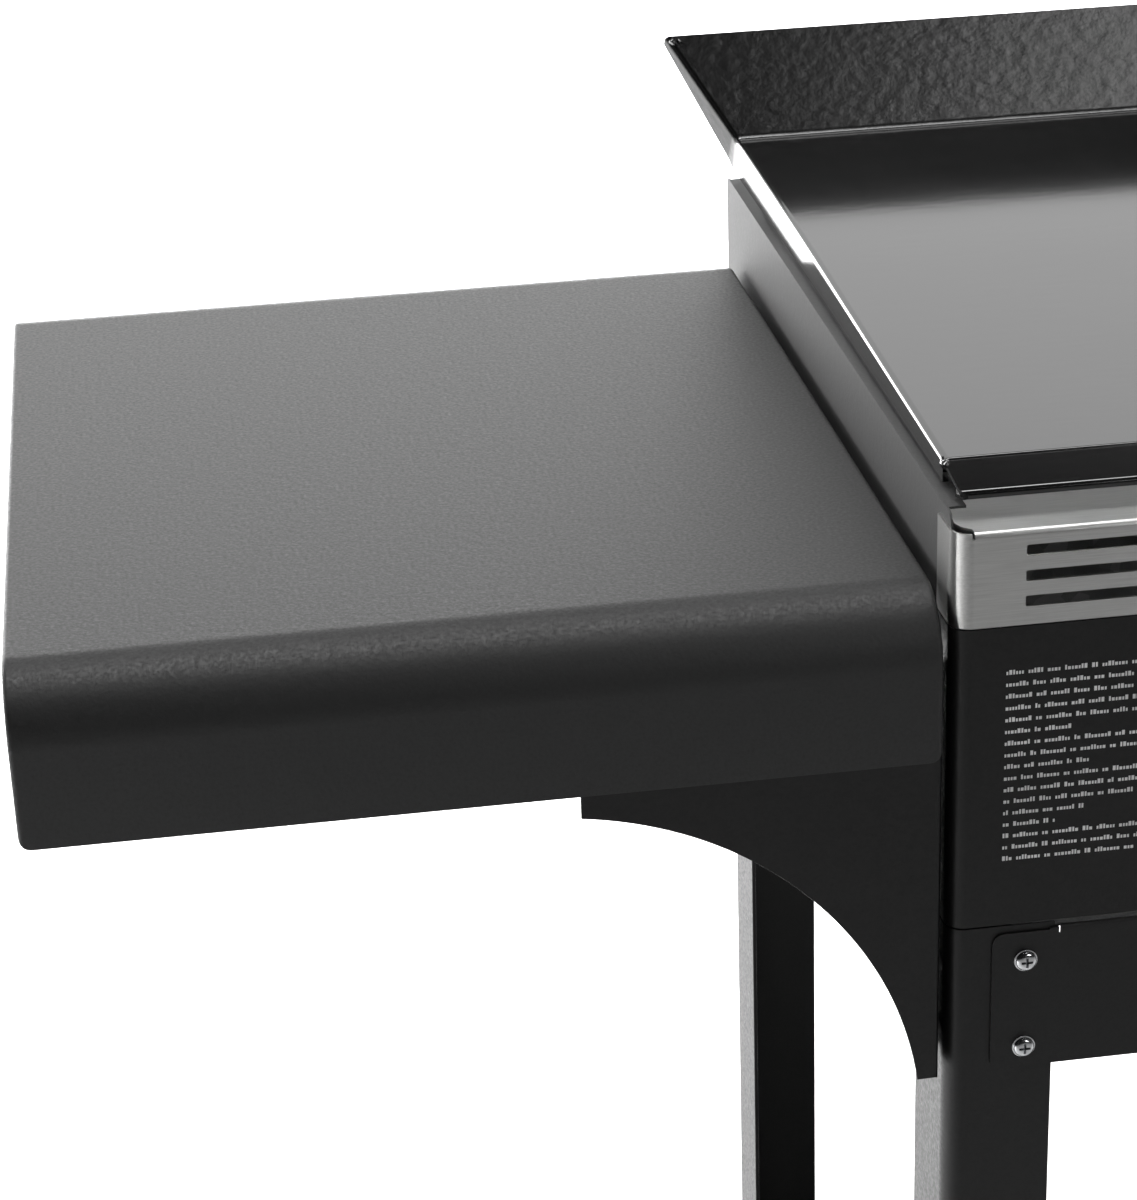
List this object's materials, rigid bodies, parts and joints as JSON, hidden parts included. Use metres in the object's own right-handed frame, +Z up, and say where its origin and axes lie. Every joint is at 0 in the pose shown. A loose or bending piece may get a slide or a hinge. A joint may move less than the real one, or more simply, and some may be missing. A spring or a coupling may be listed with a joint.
{
  "type": "gas barbecue grill",
  "caption": "Gas barbecue griddle on a wheeled steel cart: lift-off enamelled plate over tube burners, push-and-turn knobs, fixed side shelves and a slide-out grease tray.",
  "frame": {"origin": "middle of the footprint, on the floor", "axes": "+X to the user's right along the shelves, +Y from the user towards the backsplash, +Z up"},
  "size_m": [1.388, 0.547, 0.947],
  "materials": {
    "powder_coat": "satin, fine texture",
    "shelf_coat": "satin, fine texture",
    "enamel": "gloss enamel",
    "trim_steel": "brushed along its length",
    "bright_zinc": "bright plated",
    "burner_steel": "satin",
    "galvanised": "dull zinc",
    "tap_brass": "machined",
    "knob_plastic": "satin",
    "wheel_plastic": "satin",
    "foot_plastic": "matt",
    "tyre_rubber": "matt",
    "ceramic": "glazed ceramic",
    "lead_sleeve": "silicone"
  },
  "bodies": {
    "cart": {"leg_front_left": "powder_coat", "leg_front_right": "powder_coat", "leg_rear_left": "powder_coat", "leg_rear_right": "powder_coat", "front_rail": "powder_coat", "rear_rail": "powder_coat", "corner_brackets": "powder_coat", "bottom_shelf": "powder_coat", "bottom_shelf_skirts": "powder_coat", "feet": "foot_plastic", "axle": "bright_zinc", "axle_caps": "wheel_plastic", "side_panel_left": "shelf_coat", "side_panel_right": "shelf_coat", "rear_panel": "shelf_coat", "heat_shield": "galvanised", "front_baffle": "galvanised", "plate_rests": "galvanised", "control_panel": "powder_coat", "front_trim": "trim_steel", "knob_bezels": "bright_zinc", "manifold": "galvanised", "gas_inlet": "tap_brass", "valve_left": "tap_brass", "valve_centre": "tap_brass", "valve_right": "tap_brass", "burner_left": "burner_steel", "burner_centre": "burner_steel", "burner_right": "burner_steel", "igniters": "ceramic", "ignition_leads": "lead_sleeve", "tray_rails": "galvanised", "shelf_left": "shelf_coat", "shelf_right": "shelf_coat", "gusset_front_left": "powder_coat", "gusset_front_right": "powder_coat", "gusset_rear_left": "powder_coat", "gusset_rear_right": "powder_coat", "shelf_spacers": "foot_plastic", "shelf_bolts": "bright_zinc", "rail_screws": "bright_zinc", "base_screws": "bright_zinc"},
    "plate": {"griddle_plate": "enamel"},
    "tray": {"grease_tray": "galvanised"},
    "wheel_front_spin": {"wheel_front": "wheel_plastic", "tyre_front": "tyre_rubber"},
    "wheel_rear_spin": {"wheel_rear": "wheel_plastic", "tyre_rear": "tyre_rubber"},
    "tap_left": {"collar_left": "bright_zinc"},
    "tap_centre": {"collar_centre": "bright_zinc"},
    "tap_right": {"collar_right": "bright_zinc"},
    "control_left": {"stem_left": "bright_zinc", "knob_left": "knob_plastic"},
    "control_centre": {"stem_centre": "bright_zinc", "knob_centre": "knob_plastic"},
    "control_right": {"stem_right": "bright_zinc", "knob_right": "knob_plastic"}
  },
  "joints": [
    {"name": "plate_lift", "type": "slide", "parent": "cart", "child": "plate", "axis": [0, 0, 1], "range_m": [0, 0.15]},
    {"name": "tray_slide", "type": "slide", "parent": "cart", "child": "tray", "axis": [0, 1, 0], "range_m": [0, 0.28]},
    {"name": "front_wheel_turn", "type": "hinge", "parent": "cart", "child": "wheel_front_spin", "pos_m": [0.306, -0.2525, 0.075], "axis": [0, 1, 0], "continuous": true},
    {"name": "rear_wheel_turn", "type": "hinge", "parent": "cart", "child": "wheel_rear_spin", "pos_m": [0.306, 0.2525, 0.075], "axis": [0, 1, 0], "continuous": true},
    {"name": "left_push", "type": "slide", "parent": "cart", "child": "tap_left", "axis": [0, 1, 0], "range_m": [0, 0.003], "stiffness_N_per_m": 800, "springref_m": -0.002},
    {"name": "left_turn", "type": "hinge", "parent": "tap_left", "child": "control_left", "pos_m": [-0.185, -0.24, 0.7625], "axis": [0, -1, 0], "range_deg": [0, 180]},
    {"name": "centre_push", "type": "slide", "parent": "cart", "child": "tap_centre", "axis": [0, 1, 0], "range_m": [0, 0.003], "stiffness_N_per_m": 800, "springref_m": -0.002},
    {"name": "centre_turn", "type": "hinge", "parent": "tap_centre", "child": "control_centre", "pos_m": [0, -0.24, 0.7625], "axis": [0, -1, 0], "range_deg": [0, 180]},
    {"name": "right_push", "type": "slide", "parent": "cart", "child": "tap_right", "axis": [0, 1, 0], "range_m": [0, 0.003], "stiffness_N_per_m": 800, "springref_m": -0.002},
    {"name": "right_turn", "type": "hinge", "parent": "tap_right", "child": "control_right", "pos_m": [0.185, -0.24, 0.7625], "axis": [0, -1, 0], "range_deg": [0, 180]}
  ]
}
